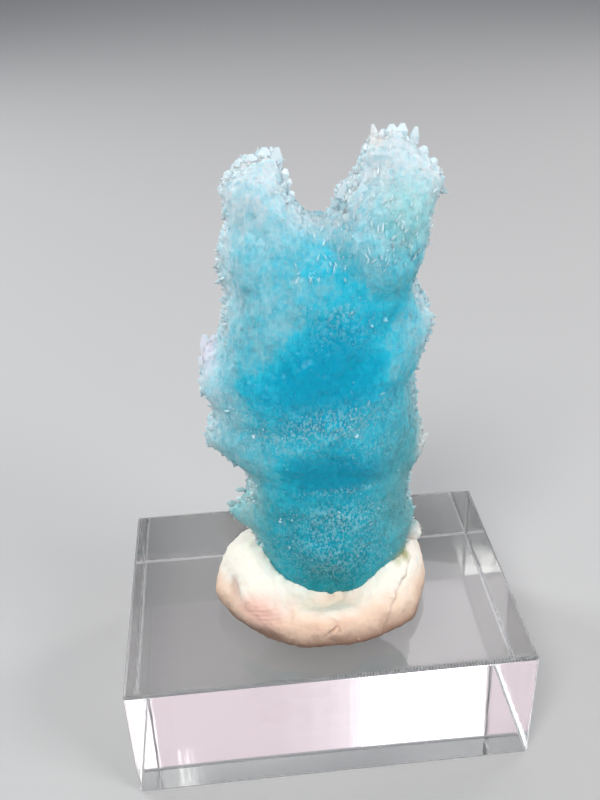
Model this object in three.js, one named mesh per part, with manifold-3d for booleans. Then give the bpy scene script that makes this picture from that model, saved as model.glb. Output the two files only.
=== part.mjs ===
// A hemimorphite specimen: a sky-blue crystal crust with two pale prongs, standing in a kneaded lump of
// white putty on a clear acrylic block. Millimetres, +Z up, the front faces -Y, and the origin is the
// centre of the block's underside.
import * as THREE from "three";
import { mergeVertices } from "three/addons/utils/BufferGeometryUtils.js";
import Module from "manifold-3d";

const wasm = await Module();
wasm.setup();

// Acrylic block, cut square with its edges just broken.
const BLOCK_WIDTH = 40;
const BLOCK_DEPTH = 27.5;
const BLOCK_HEIGHT = 13.7;
const BLOCK_CHAMFER = 0.2;

// Putty lump: an oval foot on the block, turned a little, and a brim that climbs the specimen higher at
// the sides.
const PUTTY_CENTRE = [0.3, -0.9];
const PUTTY_TURN = 0.16;
const PUTTY_HALF_WIDTH = 10.8;
const PUTTY_HALF_DEPTH = 9.2;
const PUTTY_FRONT_BRIM = 3.9;
const PUTTY_BACK_BRIM = 5;
const PUTTY_SIDE_BRIM = 6.7;
const PUTTY_SIDES = 48;
const PUTTY_PROFILE_STEPS = 5;
const PUTTY_DENT = 0.03;
const SEAT_GAP = 0.3;

// Crust sections, as [height above the block, left, right, front, back].
const TRUNK = [
  [1.2, -0.8, 3.4, -2.6, 2.2],
  [2.2, -3.4, 6.0, -4.6, 4.0],
  [3.6, -5.1, 8.0, -5.7, 5.1],
  [5.2, -6.2, 9.1, -6.2, 5.6],
  [7.0, -6.7, 9.6, -6.4, 5.8],
  [9.0, -7.2, 9.6, -6.4, 5.9],
  [12.0, -7.1, 9.5, -6.1, 5.8],
  [14.0, -6.5, 9.6, -5.8, 5.6],
  [15.6, -6.3, 10.0, -5.8, 5.6],
  [17.0, -7.4, 10.4, -6.1, 5.8],
  [18.4, -9.1, 10.5, -6.6, 6.1],
  [20.5, -9.7, 10.2, -6.8, 6.3],
  [22.8, -9.4, 9.6, -6.8, 6.3],
  [25.6, -10.4, 9.5, -6.8, 6.3],
  [28.0, -9.6, 10.3, -6.7, 6.2],
  [30.0, -8.4, 10.6, -6.5, 6.1],
  [32.0, -8.0, 10.5, -6.3, 5.9],
  [33.8, -7.6, 9.7, -6.1, 5.8],
  [35.4, -7.4, 9.0, -5.8, 5.5],
  [37.0, -7.7, 9.6, -5.4, 5.1],
  [38.4, -7.0, 9.6, -4.8, 4.5],
  [39.4, -4.6, 7.8, -3.8, 3.5],
  [40.0, -1.4, 3.4, -2.2, 2.0],
];
const LEFT_PRONG = [
  [33.5, -5.4, -1.2, -3.4, 3.2],
  [36.5, -7.4, 0.7, -4.9, 4.6],
  [38.5, -7.7, 1.1, -5.0, 4.7],
  [40.2, -7.4, 0.5, -4.8, 4.5],
  [41.6, -6.9, -0.6, -4.5, 4.1],
  [43.2, -6.8, -1.3, -4.1, 3.6],
  [44.4, -6.6, -1.6, -3.5, 3.1],
  [45.5, -5.9, -1.9, -2.7, 2.4],
  [46.2, -4.7, -2.3, -1.5, 1.3],
];
const RIGHT_PRONG = [
  [33.5, 3.0, 7.6, -3.8, 3.2],
  [36.5, 1.9, 9.2, -5.5, 4.6],
  [38.5, 1.3, 10.0, -5.9, 4.9],
  [40.2, 1.3, 10.6, -5.8, 4.9],
  [41.6, 2.1, 11.1, -5.4, 4.6],
  [43.2, 3.4, 11.3, -4.9, 4.2],
  [44.6, 4.3, 10.9, -4.2, 3.7],
  [45.7, 4.8, 9.9, -3.5, 3.1],
  [46.8, 5.2, 9.1, -2.5, 2.2],
  [47.6, 6.1, 8.2, -1.4, 1.2],
];

// Smooth swellings of the crust, as [x, y, height above the block, rise, spread].
const BULGES = [
  [1.6, -6.8, 26.5, 0.8, 5.5],
  [-4.6, -5.4, 36.0, 0.6, 3.2],
  [6.5, -5.8, 37.6, 0.8, 3.0],
  [-9.2, -2.6, 20.8, 0.7, 2.4],
  [-7.7, -1.0, 10.8, 1.5, 1.6],
  [10.4, 0.0, 17.5, 0.6, 1.4],
  [2.0, -6.2, 10.0, 0.5, 4.0],
  [-3.8, 6.2, 30.0, 0.9, 4.0],
  [6.0, 6.2, 21.0, 1.0, 4.5],
  [-2.0, 6.0, 12.5, 0.8, 3.5],
];

// Small buds that stand clear of the crust, as
// [x, y, height above the block, half-width, half-depth, half-height].
const BUDS = [
  [-9.2, -0.4, 28.6, 0.9, 1.5, 1.8],
  [9.8, -0.6, 6.5, 1.1, 1.4, 1.2],
  [2.7, -0.4, 42.5, 0.8, 0.9, 1.1],
];

const SECTION_SIDES = 46;
const ROW_STEP = 1;
const SQUARENESS = 2.35;
const BUD_DETAIL = 2;
const LUMP_HEIGHT = 0.25;

// A closed three.js geometry as a solid that can be joined and cut.
function solidOf(geometry) {
  const bare = geometry.clone();
  bare.deleteAttribute("normal");
  bare.deleteAttribute("uv");
  const merged = mergeVertices(bare, 1e-4);
  const vertProperties = merged.attributes.position.array;
  const triVerts = new Uint32Array(merged.index.array);
  return new wasm.Manifold(new wasm.Mesh({ numProp: 3, vertProperties, triVerts }));
}

// A solid as a geometry with flat facets.
function geometryOf(solid) {
  const { vertProperties, triVerts } = solid.getMesh();
  const shared = new THREE.BufferGeometry();
  shared.setAttribute("position", new THREE.BufferAttribute(vertProperties, 3));
  shared.setIndex(new THREE.BufferAttribute(triVerts, 1));
  const faceted = shared.toNonIndexed();
  faceted.computeVertexNormals();
  return faceted;
}

// How far the crust swells at a point: its bulges, and low lumps from waves that cross at odd angles.
function swelling(x, y, z) {
  const coarse = Math.sin(0.8 * x + 0.3 * y + 0.4) * Math.sin(0.9 * z + 0.5 * y);
  const crossed = Math.sin(0.9 * y - 0.4 * x + 1) * Math.cos(0.7 * z + 0.6 * x);
  const fine = Math.sin(1.9 * x + 0.4) * Math.sin(1.7 * y + 1) * Math.sin(1.8 * z);
  let swell = LUMP_HEIGHT * (coarse + 0.8 * crossed + 0.7 * fine);
  for (const [bulgeX, bulgeY, bulgeZ, rise, spread] of BULGES) {
    const reach = Math.hypot(x - bulgeX, y - bulgeY, z - bulgeZ) / spread;
    swell += rise * Math.exp(-reach * reach);
  }
  return swell;
}

// Squares up one coordinate of a unit circle.
function squared(value) {
  return Math.sign(value) * Math.abs(value) ** (2 / SQUARENESS);
}

// A closed skin over a column of sections, swollen outwards by grow.
function column(rows, grow) {
  const heights = rows.map((row) => row[0]);
  const sizes = rows.flatMap((row) => row.slice(1));
  const section = new THREE.CubicInterpolant(heights, sizes, 4);
  const bottom = heights[0];
  const rise = heights.at(-1) - bottom;
  const skin = new THREE.CylinderGeometry(1, 1, 1, SECTION_SIDES, Math.round(rise / ROW_STEP));
  skin.rotateX(Math.PI / 2);
  const place = skin.attributes.position;
  for (let i = 0; i < place.count; i += 1) {
    const across = place.getX(i);
    const along = place.getY(i);
    const share = place.getZ(i) + 0.5;
    const z = bottom + share * rise;
    const [left, right, front, back] = section.evaluate(z);
    const x = (left + right) / 2 + (squared(across) * (right - left)) / 2;
    const y = (front + back) / 2 + (squared(along) * (back - front)) / 2;
    const swell = grow + swelling(x, y, z);
    place.setXYZ(i, x + across * swell, y + along * swell, BLOCK_HEIGHT + z + grow * (2 * share - 1));
  }
  return solidOf(skin);
}

// The whole crust, swollen outwards by grow.
function crust(grow) {
  let joined = column(TRUNK, grow).add(column(LEFT_PRONG, grow)).add(column(RIGHT_PRONG, grow));
  for (const [x, y, z, halfWidth, halfDepth, halfHeight] of BUDS) {
    const bud = new THREE.IcosahedronGeometry(1, BUD_DETAIL);
    bud.scale(halfWidth + grow, halfDepth + grow, halfHeight + grow);
    bud.translate(x, y, BLOCK_HEIGHT + z);
    joined = joined.add(solidOf(bud));
  }
  return joined;
}

// The putty lump before the specimen is pressed into it.
function puttyLump() {
  const outline = new THREE.Path();
  outline.moveTo(0, 0);
  outline.lineTo(0.93, 0);
  outline.bezierCurveTo(1.03, 0.12, 1.03, 0.5, 0.94, 0.74);
  outline.quadraticCurveTo(0.85, 1, 0.68, 1);
  outline.lineTo(0, 0.9);
  const profile = outline.getPoints(PUTTY_PROFILE_STEPS);
  const skin = new THREE.LatheGeometry(profile, PUTTY_SIDES);
  skin.rotateX(Math.PI / 2);
  const place = skin.attributes.position;
  for (let i = 0; i < place.count; i += 1) {
    const x = place.getX(i);
    const y = place.getY(i);
    const angle = Math.atan2(y, x);
    const middleBrim = y < 0 ? PUTTY_FRONT_BRIM : PUTTY_BACK_BRIM;
    const brim = THREE.MathUtils.lerp(middleBrim, PUTTY_SIDE_BRIM, Math.cos(angle) ** 2);
    const reach = 1 + PUTTY_DENT * Math.sin(3 * angle + 0.6) * Math.sin(2 * angle);
    place.setXYZ(i, x * PUTTY_HALF_WIDTH * reach, y * PUTTY_HALF_DEPTH * reach, place.getZ(i) * brim);
  }
  skin.rotateZ(PUTTY_TURN);
  skin.translate(...PUTTY_CENTRE, BLOCK_HEIGHT);
  return solidOf(skin);
}

function acrylicBlock() {
  const halfWidth = BLOCK_WIDTH / 2 - BLOCK_CHAMFER;
  const halfDepth = BLOCK_DEPTH / 2 - BLOCK_CHAMFER;
  const outline = new THREE.Shape();
  outline.moveTo(-halfWidth, -halfDepth);
  outline.lineTo(halfWidth, -halfDepth);
  outline.lineTo(halfWidth, halfDepth);
  outline.lineTo(-halfWidth, halfDepth);
  outline.closePath();
  const block = new THREE.ExtrudeGeometry(outline, {
    depth: BLOCK_HEIGHT - 2 * BLOCK_CHAMFER,
    bevelThickness: BLOCK_CHAMFER,
    bevelSize: BLOCK_CHAMFER,
    bevelSegments: 1,
  });
  block.translate(0, 0, BLOCK_CHAMFER);
  return block;
}

function piece(name, geometry, look) {
  const mesh = new THREE.Mesh(geometry, new THREE.MeshStandardMaterial(look));
  mesh.name = name;
  return mesh;
}

const hemimorphite = piece("hemimorphite", geometryOf(crust(0)), {
  color: 0x56b4cc,
  roughness: 0.4,
  metalness: 0,
});
const mountingPutty = piece("mounting_putty", geometryOf(puttyLump().subtract(crust(SEAT_GAP))), {
  color: 0xf3ead8,
  roughness: 0.7,
  metalness: 0,
});
const acrylicBase = piece("acrylic_base", acrylicBlock(), {
  color: 0xf4f8fa,
  roughness: 0.03,
  metalness: 0,
  transparent: true,
  opacity: 0.3,
});

const specimen = new THREE.Group();
specimen.add(hemimorphite, mountingPutty, acrylicBase);

export default specimen;
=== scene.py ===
import math

import bpy
from mathutils import Matrix, Vector, noise
from mathutils.bvhtree import BVHTree
from mathutils.kdtree import KDTree


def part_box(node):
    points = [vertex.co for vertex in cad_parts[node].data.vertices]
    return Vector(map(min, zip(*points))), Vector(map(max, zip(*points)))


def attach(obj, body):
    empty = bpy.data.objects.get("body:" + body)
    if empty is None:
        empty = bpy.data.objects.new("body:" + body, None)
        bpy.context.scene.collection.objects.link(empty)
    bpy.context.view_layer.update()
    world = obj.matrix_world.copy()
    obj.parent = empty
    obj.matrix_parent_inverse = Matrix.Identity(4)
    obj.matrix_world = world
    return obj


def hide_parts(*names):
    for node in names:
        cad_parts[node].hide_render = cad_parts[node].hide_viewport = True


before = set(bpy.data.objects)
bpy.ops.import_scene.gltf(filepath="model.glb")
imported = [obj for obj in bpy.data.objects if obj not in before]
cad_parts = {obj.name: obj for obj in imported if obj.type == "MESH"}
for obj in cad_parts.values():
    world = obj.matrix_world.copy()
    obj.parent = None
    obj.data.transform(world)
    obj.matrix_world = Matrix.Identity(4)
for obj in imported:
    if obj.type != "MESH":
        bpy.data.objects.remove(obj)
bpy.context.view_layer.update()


# ----------------------------------------------------------
# Camera
# It stands just left of the block's middle, a hand's width in front, and looks
# down on the specimen the way one looks at a stone held up at chest height.

CAMERA_PLACE = (-0.00676, -0.07558, 0.08175)
CAMERA_TURN = math.radians(4.24)
CAMERA_DROP = math.radians(30.88)
CAMERA_ROLL = math.radians(-2.35)
CAMERA_LENS = 41.84
CAMERA_SENSOR = 36
CAMERA_NEAR = 0.002
CAMERA_FAR = 20

bpy.ops.object.camera_add(location=CAMERA_PLACE)
camera = bpy.context.object
camera.name = "camera"
camera.rotation_euler = (
    Matrix.Rotation(-CAMERA_TURN, 3, "Z")
    @ Matrix.Rotation(math.radians(90) - CAMERA_DROP, 3, "X")
    @ Matrix.Rotation(CAMERA_ROLL, 3, "Z")
).to_euler()
camera.data.lens = CAMERA_LENS
camera.data.sensor_width = CAMERA_SENSOR
camera.data.clip_start = CAMERA_NEAR
camera.data.clip_end = CAMERA_FAR
bpy.context.scene.camera = camera


# ----------------------------------------------------------
# Studio
# A plain pale table top in a pale room. Small softboxes hang at the front left and
# right, a weaker rim light at each side of the back, and straight behind a window
# with its glow and a pinkish wall, which show in the block's front face.

FLOOR_SIZE = 3.0
FLOOR_DROP = 0.00005
FLOOR_COLOUR = (0.50, 0.50, 0.50, 1)
FLOOR_ROUGHNESS = 0.8
ROOM_COLOUR = (0.86, 0.90, 0.96, 1)
ROOM_STRENGTH = 0.34
# Every light's place, width and height, power in watts and colour.
LIGHTS = {
    "softbox_left": ((-0.13, -0.27, 0.38), (0.16, 0.16), 1.34, (1.0, 0.985, 0.955)),
    "softbox_right": ((0.28, -0.22, 0.26), (0.18, 0.18), 0.75, (0.99, 0.99, 1.0)),
    "window_behind": ((0.088, 0.288, 0.34), (0.078, 0.11), 0.055, (1.0, 0.97, 1.0)),
    "window_glow_1": ((0.046, 0.2885, 0.34), (0.010, 0.12), 0.00070, (1.0, 0.97, 1.0)),
    "window_glow_2": ((0.041, 0.2890, 0.34), (0.020, 0.12), 0.00065, (1.0, 0.95, 1.0)),
    "window_glow_3": ((0.035, 0.2895, 0.34), (0.032, 0.12), 0.00070, (1.0, 0.93, 1.0)),
    "window_glow_4": ((0.028, 0.2900, 0.34), (0.046, 0.12), 0.00080, (1.0, 0.92, 1.0)),
    "wall_behind": ((0.040, 0.292, 0.345), (0.42, 0.13), 0.086, (1.0, 0.74, 0.80)),
    "rim_light_left": ((-0.30, 0.22, 0.22), (0.14, 0.14), 0.75, (0.95, 0.98, 1.0)),
    "rim_light_right": ((0.32, 0.20, 0.20), (0.14, 0.14), 0.35, (1.0, 0.98, 0.96)),
}
AIM = Vector((0, 0, 0.035))


def add_node(tree, kind, inputs=(), **settings):
    """Adds a node with its settings; each input, by name or number, gets a value or a link."""
    node = tree.nodes.new(kind)
    for name, value in settings.items():
        setattr(node, name, value)
    for key, value in dict(inputs).items():
        if isinstance(value, bpy.types.NodeSocket):
            tree.links.new(value, node.inputs[key])
        else:
            node.inputs[key].default_value = value
    return node


def new_material(name, **values):
    """A material with a Principled shader on its output; values go to the shader's sockets."""
    material = bpy.data.materials.new(name)
    material.use_nodes = True
    tree = material.node_tree
    tree.nodes.clear()
    sockets = {key.replace("_", " "): value for key, value in values.items()}
    shader = add_node(tree, "ShaderNodeBsdfPrincipled", sockets)
    add_node(tree, "ShaderNodeOutputMaterial", {"Surface": shader.outputs["BSDF"]})
    return material, tree, shader


bpy.ops.mesh.primitive_plane_add(size=FLOOR_SIZE, location=(0, 0, -FLOOR_DROP))
floor = bpy.context.object
floor.name = "floor"
table_top, _, _ = new_material(
    "pale table top", Base_Color=FLOOR_COLOUR, Roughness=FLOOR_ROUGHNESS
)
floor.data.materials.append(table_top)

for name, (place, size, power, colour) in LIGHTS.items():
    bpy.ops.object.light_add(type="AREA", location=place)
    light = bpy.context.object
    light.name = name
    light.rotation_euler = (AIM - Vector(place)).to_track_quat("-Z", "Y").to_euler()
    light.data.shape = "RECTANGLE"
    light.data.size, light.data.size_y = size
    light.data.energy = power
    light.data.color = colour

room = bpy.data.worlds.new("pale room")
room.use_nodes = True
backdrop = room.node_tree.nodes["Background"]
backdrop.inputs["Color"].default_value = ROOM_COLOUR
backdrop.inputs["Strength"].default_value = ROOM_STRENGTH
bpy.context.scene.world = room
bpy.context.scene.view_settings.view_transform = "Standard"


# ----------------------------------------------------------
# Acrylic base
# A block of clear cast acrylic, sawn square and polished. Its edges are only
# just broken, and the sawn sides keep a few fine upright marks.

BLOCK_LOW, BLOCK_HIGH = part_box("acrylic_base")
BLOCK_EDGE = 0.00028
POLISH_ROUGHNESS = 0.03
GROUND_ROUGHNESS = 0.35
SCUFF_ROUGHNESS = 0.20
# The front and back keep only a share of the marks that the saw left on the ends.
FRONT_SAWING = 0.2
SAW_PITCH = 0.00055
SAW_DEPTH = 0.000030
# How much finer the marks are across than upright.
SAW_STRETCH = (1000, 1000, 40)
TICK_PITCH = 0.00030
TICK_HEIGHT = 0.0005
TICK_DEPTH = 0.000012
TICK_ROUGHENING = 0.6
# Where the ticks fade in, towards the front face and from left to right.
TICK_FRONT = (-0.013, -0.0135)
TICK_GROWTH = (-0.004, 0.006)
ACRYLIC_IOR = 1.49
ACRYLIC_TINT = (0.80, 0.95, 0.90, 1)
ACRYLIC_DENSITY = 1.2


def pick_only(thing):
    """Makes one object the active one, and the only one selected."""
    bpy.ops.object.select_all(action="DESELECT")
    thing.select_set(True)
    bpy.context.view_layer.objects.active = thing


def apply_modifiers(thing):
    """Works all of an object's modifiers into its mesh, and leaves the object picked."""
    pick_only(thing)
    for modifier in list(thing.modifiers):
        bpy.ops.object.modifier_apply(modifier=modifier.name)


def settle(thing):
    """Moves an object's place, turn and size into its mesh."""
    pick_only(thing)
    bpy.ops.object.transform_apply(location=True, rotation=True, scale=True)


def store(thing, name, values, domain="POINT"):
    """Keeps one number for each point, or each face, of a mesh under a name."""
    attribute = thing.data.attributes.new(name, "FLOAT", domain)
    attribute.data.foreach_set("value", values)


def kept(tree, name, output="Fac"):
    """What a mesh keeps under a name."""
    return add_node(tree, "ShaderNodeAttribute", attribute_name=name).outputs[output]


def calc(tree, operation, *values, clamp=False):
    """A Math node's result."""
    settings = {"operation": operation, "use_clamp": clamp}
    return add_node(tree, "ShaderNodeMath", enumerate(values), **settings).outputs["Value"]


def times(tree, first, second):
    """The product of two values."""
    return calc(tree, "MULTIPLY", first, second)


def fade(tree, value, start, end, low=0.0, high=1.0):
    """A value spread smoothly from low to high as it runs from start to end."""
    inputs = {"Value": value, "From Min": start, "From Max": end, "To Min": low, "To Max": high}
    spreader = add_node(tree, "ShaderNodeMapRange", inputs, interpolation_type="SMOOTHSTEP")
    return spreader.outputs["Result"]


def cloud(tree, where, grain, detail=3.0):
    """Cloudy noise, its grain in the units of the place it is given."""
    inputs = {"Vector": where, "Scale": 1 / grain, "Detail": detail, "Roughness": 0.55}
    return add_node(tree, "ShaderNodeTexNoise", inputs).outputs["Fac"]


def vec(tree, operation, *values):
    """A Vector Math node's outputs."""
    return add_node(tree, "ShaderNodeVectorMath", enumerate(values), operation=operation).outputs


def emboss(tree, shader, height, distance):
    """Makes a surface look raised by a height; the distance is the height's unit in metres."""
    bump = add_node(tree, "ShaderNodeBump", {"Height": height, "Distance": distance})
    tree.links.new(bump.outputs["Normal"], shader.inputs["Normal"])


bpy.ops.mesh.primitive_cube_add(size=1, location=(BLOCK_LOW + BLOCK_HIGH) / 2)
block = bpy.context.object
block.name = "acrylic_block"
block.scale = BLOCK_HIGH - BLOCK_LOW
settle(block)
edge = block.modifiers.new("broken edges", "BEVEL")
edge.width = BLOCK_EDGE
edge.segments = 2
apply_modifiers(block)
bpy.ops.object.shade_flat()
faces = block.data.polygons
squareness = [max(abs(part) for part in face.normal) for face in faces]
store(block, "ground", [0.0 if square > 0.999 else 1.0 for square in squareness], "FACE")
sawn = [max(abs(face.normal.x), FRONT_SAWING * abs(face.normal.y)) for face in faces]
store(block, "sawn", [cut if cut > 0.95 * FRONT_SAWING else 0.0 for cut in sawn], "FACE")

acrylic, tree, shader = new_material(
    "clear acrylic", Base_Color=(1, 1, 1, 1), IOR=ACRYLIC_IOR, Transmission_Weight=1.0
)
clearness = add_node(
    tree, "ShaderNodeVolumeAbsorption", {"Color": ACRYLIC_TINT, "Density": ACRYLIC_DENSITY}
)
tree.links.new(clearness.outputs["Volume"], tree.nodes["Material Output"].inputs["Volume"])
ground = kept(tree, "ground")
# The saw's upright marks on the sides, and its ticks along the front top edge.
place = add_node(tree, "ShaderNodeTexCoord").outputs["Object"]
upright = vec(tree, "MULTIPLY", place, SAW_STRETCH)[0]
marks = cloud(tree, upright, SAW_PITCH * SAW_STRETCH[0])
sawn = kept(tree, "sawn")
scuffs = fade(tree, marks, 0.50, 0.64, 0.0, SCUFF_ROUGHNESS)
scuffs = times(tree, scuffs, fade(tree, sawn, 0.5, 1.0))
marks = times(tree, marks, times(tree, sawn, SAW_DEPTH))
across = add_node(tree, "ShaderNodeSeparateXYZ", {0: place}).outputs
ticks = calc(tree, "SINE", times(tree, across["X"], 2 * math.pi / TICK_PITCH))
front_edge = fade(tree, across["Z"], BLOCK_HIGH.z - TICK_HEIGHT, BLOCK_HIGH.z)
front_edge = times(tree, front_edge, fade(tree, across["Y"], *TICK_FRONT))
growth = fade(tree, across["X"], *TICK_GROWTH, 0.2, 1.0)
front_edge = times(tree, front_edge, growth)
ticks = times(tree, ticks, front_edge)
rough = calc(tree, "MULTIPLY_ADD", ticks, TICK_ROUGHENING, 1.0)
rough = times(tree, rough, times(tree, ground, GROUND_ROUGHNESS))
rough = calc(tree, "MAXIMUM", calc(tree, "MAXIMUM", rough, scuffs), POLISH_ROUGHNESS)
tree.links.new(rough, shader.inputs["Roughness"])
ticks = times(tree, ticks, TICK_DEPTH)
emboss(tree, shader, calc(tree, "ADD", marks, ticks), 1.0)
block.data.materials.append(acrylic)
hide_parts("acrylic_base")
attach(block, "root")


# ----------------------------------------------------------
# Hemimorphite crust
# One crust of milky blue hemimorphite grown over a stalk: rounded lobes run
# into each other round a clear cyan heart, and thin out to two whitish prongs.

MM = 0.001
# The one seed of every chance cloud that is worked out point by point below.
CLOUD_SEED = 1
noise.seed_set(CLOUD_SEED)
# Points of a copied solid that lie closer than this are one point.
SAME_POINT = 0.001 * MM
CRUST_GRAIN = 0.195 * MM
CRUST_SOFTENING = 10
HEALING = 300
DRUSE_ROOM = 0.20 * MM
# The relief of the flanks starts where the skin turns away from the front and
# back, and above the putty, in millimetres.
FLANK_TURN = (0.08, 0.40)
FLANK_FOOT = (18.0, 21.0)
# The skin's relief: kind of swelling, its grain and height, and where it grows.
RELIEF = (
    ("rolling lobes", "CLOUDS", 3.6 * MM, 0.26 * MM, ""),
    ("druse knobs", "STUCCI", 1.3 * MM, 0.20 * MM, ""),
    ("druse grain", "VORONOI", 0.6 * MM, 0.14 * MM, ""),
    ("crystal ends", "VORONOI", 0.33 * MM, 0.09 * MM, ""),
    ("flank knobs", "VORONOI", 1.1 * MM, -0.55 * MM, "flanks"),
    ("flank points", "VORONOI", 0.62 * MM, -0.60 * MM, "flanks"),
)
# Where growth or a hollow pulls the skin: place, reach and pull in millimetres.
PULLS = (
    ((0.7, 0.0, 53.9), (1.7, 6.0, 1.2), (0.0, 0.0, 1.1)),
    ((2.0, 0.0, 55.6), (1.0, 6.0, 1.2), (0.9, 0.0, -0.2)),
    ((-7.2, -3.0, 21.6), (1.5, 4.0, 2.2), (0.8, 0.0, 0.0)),
    ((0.3, -6.5, 17.2), (4.2, 1.9, 1.8), (0.0, -0.95, -0.4)),
    ((10.0, -0.8, 19.8), (1.8, 2.4, 1.7), (0.3, -0.2, 0.0)),
    ((-8.0, -1.0, 29.9), (2.6, 6.0, 1.2), (0.1, 0.0, 0.85)),
    ((-9.6, -1.0, 31.4), (1.4, 6.0, 1.4), (0.35, 0.0, 0.25)),
    ((6.0, -6.0, 48.4), (2.6, 4.0, 1.5), (0.0, -0.5, 0.0)),
    ((8.6, -5.0, 48.3), (1.8, 4.0, 1.6), (0.0, -0.9, 0.0)),
    ((0.5, -6.0, 28.0), (8.0, 4.0, 2.4), (0.0, -0.70, 0.0)),
    ((-5.4, -2.8, 28.7), (2.0, 3.2, 2.0), (0.0, -1.90, 0.0)),
    ((-3.6, -4.8, 28.9), (2.4, 3.0, 1.6), (0.0, -0.75, 0.0)),
    ((-0.5, -6.2, 29.3), (3.2, 3.0, 1.3), (0.0, -0.25, 0.0)),
    ((3.3, -0.6, 55.9), (1.1, 3.0, 1.2), (-0.25, -0.1, 0.5)),
    ((3.6, -5.5, 50.4), (1.8, 4.0, 1.4), (0.0, -0.70, 0.0)),
    ((-8.2, -1.0, 24.8), (1.5, 5.0, 1.4), (-0.25, 0.0, 0.0)),
    ((10.0, -1.0, 45.6), (1.6, 5.0, 3.4), (0.45, 0.0, 0.0)),
    ((-6.2, -4.2, 44.8), (2.4, 4.0, 2.2), (0.0, -0.70, 0.0)),
    ((0.0, -4.8, 52.6), (2.4, 4.0, 2.4), (0.0, -0.60, 0.0)),
)
# Steps between the lobes that have grown over: middle and reach in millimetres.
HEALED = (
    ((-1.0, -5.0, 29.8), (10.0, 6.0, 3.2)),
    ((6.0, -5.0, 49.4), (5.0, 4.0, 2.0)),
    ((-7.0, -4.0, 43.0), (3.0, 4.0, 1.8)),
)
# The few places that no druse covers: middle and reach across and up in
# millimetres, how bare, and how steeply the bareness ends.
BARE_PLACES = (
    ((-9.4, 42.5), (1.2, 2.4), 1.0, 2),
    ((10.9, 19.8), (1.3, 1.8), 1.0, 2),
    ((1.2, 53.6), (2.6, 1.8), 0.8, 4),
)
# Where the stone is this thick, its colour is at its full depth.
FULL_DEPTH = 14.0 * MM
# The colour's bands are stirred by clouds: their grain and height in millimetres.
STIRS = ((3.4, 1.5), (1.3, 0.7))
# How far the bands lie to the side and lower on the back, in millimetres.
BACK_SHIFT = (1.2, 1.5)
# How strongly coloured the stone is from the tips down: height in millimetres,
# colour at the heart and at the sides, where the heart lies, and its half width.
BANDS = (
    (63.0, 0.04, 0.04, 0.0, 6.0),
    (60.0, 0.07, 0.07, 0.0, 6.0),
    (57.5, 0.20, 0.18, 0.5, 6.0),
    (55.0, 0.32, 0.30, 0.5, 5.0),
    (52.5, 0.40, 0.34, 1.5, 5.0),
    (49.5, 0.56, 0.37, 3.0, 5.5),
    (47.0, 0.80, 0.38, 2.6, 5.0),
    (44.0, 0.96, 0.40, 1.8, 4.8),
    (41.0, 0.92, 0.43, 0.3, 6.4),
    (38.5, 0.80, 0.40, 0.0, 6.4),
    (36.0, 0.70, 0.46, 0.6, 6.0),
    (34.5, 0.74, 0.46, 1.0, 5.5),
    (32.5, 1.00, 0.46, 0.8, 5.6),
    (30.8, 0.88, 0.45, 1.2, 4.8),
    (29.0, 0.74, 0.46, 0.8, 5.0),
    (26.0, 0.70, 0.48, 0.4, 5.5),
    (22.0, 0.70, 0.50, 0.4, 5.5),
    (15.0, 0.64, 0.50, 0.4, 5.5),
)
# Clouded or clearer places on the front: middle, radii and the change in colour.
CLOUDS = (
    ((-2.6, 46.8), (3.2, 2.0), -0.10),
    ((7.4, 42.0), (2.2, 2.4), -0.10),
    ((1.0, 36.6), (3.6, 1.0), -0.10),
    ((-1.5, 34.8), (2.4, 0.8), -0.12),
    ((3.5, 37.8), (1.6, 1.4), -0.10),
    ((4.8, 40.2), (1.5, 1.5), 0.10),
    ((0.8, 27.2), (3.0, 1.6), -0.08),
    ((3.6, 31.2), (2.2, 0.9), 0.08),
    ((-0.6, 51.2), (1.4, 0.9), 0.04),
    ((5.4, 53.2), (2.6, 0.8), -0.12),
    ((-8.4, 39.6), (2.4, 3.4), -0.20),
    ((-7.5, 33.5), (2.2, 2.2), -0.08),
    ((-6.5, 27.0), (2.6, 3.0), -0.10),
    ((8.0, 36.0), (2.0, 4.0), 0.10),
    ((8.0, 39.4), (1.8, 2.2), 0.18),
    ((8.6, 49.6), (1.8, 2.2), 0.24),
    ((-9.0, 45.0), (1.6, 2.2), 0.24),
    ((8.6, 52.4), (1.8, 1.4), 0.10),
    ((-6.0, 32.6), (1.8, 1.4), -0.14),
    ((-3.6, 42.4), (2.2, 2.6), 0.16),
    ((-0.8, 50.4), (1.6, 1.4), -0.12),
    ((4.6, 49.4), (2.6, 1.4), 0.06),
    ((0.0, 52.8), (3.2, 1.6), 0.18),
)


def add_copy(name, mesh):
    """A new object with its own copy of a mesh."""
    copy = bpy.data.objects.new(name, mesh.copy())
    bpy.context.scene.collection.objects.link(copy)
    return copy


def edit_all(thing):
    """Opens an object's mesh for editing, with all of it selected."""
    pick_only(thing)
    bpy.ops.object.mode_set(mode="EDIT")
    bpy.ops.mesh.select_all(action="SELECT")


def copy_of_node(node, name):
    """A copy of a CAD solid with its doubled points merged, ready to be shaped."""
    copy = add_copy(name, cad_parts[node].data)
    copy.data.materials.clear()
    edit_all(copy)
    bpy.ops.mesh.remove_doubles(threshold=SAME_POINT)
    bpy.ops.object.mode_set(mode="OBJECT")
    return copy


def even_skin(thing, grain, softening):
    """Gives a solid one closed skin of even quads and softens its facets away."""
    skin = thing.modifiers.new("even skin", "REMESH")
    skin.mode = "VOXEL"
    skin.voxel_size = grain
    soften = thing.modifiers.new("soften", "SMOOTH")
    soften.iterations = softening
    apply_modifiers(thing)


def spread(place, centre, reach, power=2):
    """How far a place lies from a centre: 0 there, and 1 at its reach along any one axis."""
    parts = zip(place, centre, reach)
    return sum(((part - middle) / radius) ** power for part, middle, radius in parts)


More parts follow.
